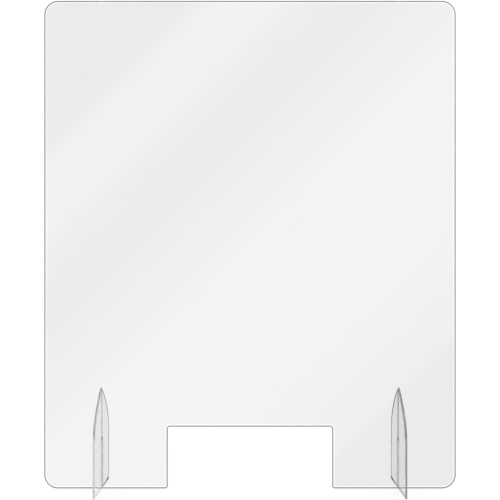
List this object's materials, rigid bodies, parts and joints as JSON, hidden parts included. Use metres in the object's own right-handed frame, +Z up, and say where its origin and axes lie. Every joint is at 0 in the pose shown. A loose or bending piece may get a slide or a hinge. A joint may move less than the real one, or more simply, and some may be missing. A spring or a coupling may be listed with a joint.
{
  "type": "desk screen",
  "caption": "Clear acrylic desk screen: an upright round-cornered panel with a pass-through notch at its bottom edge, halved into arched plate feet that it lifts off.",
  "frame": {"origin": "middle of the footprint, on the desk surface that the feet and the panel's bottom edge rest on", "axes": "+X to the right as seen from the front, the front of the panel faces -Y, +Z up"},
  "size_m": [0.762, 0.1778, 0.903],
  "materials": {
    "panel_acrylic": "polished",
    "foot_acrylic": "polished"
  },
  "bodies": {
    "left_foot": {"left_foot": "foot_acrylic"},
    "panel": {"panel": "panel_acrylic"},
    "right_foot": {"right_foot": "foot_acrylic"}
  },
  "joints": [
    {"name": "panel_lift", "type": "slide", "parent": "left_foot", "child": "panel", "axis": [0, 0, 1], "range_m": [0, 0.19]},
    {"name": "right_foot_release", "type": "slide", "parent": "panel", "child": "right_foot", "axis": [0, 0, -1], "range_m": [0, 0.19]}
  ],
  "couplings": [
    {"joint": "right_foot_release", "follows": "panel_lift", "ratio": 1}
  ]
}
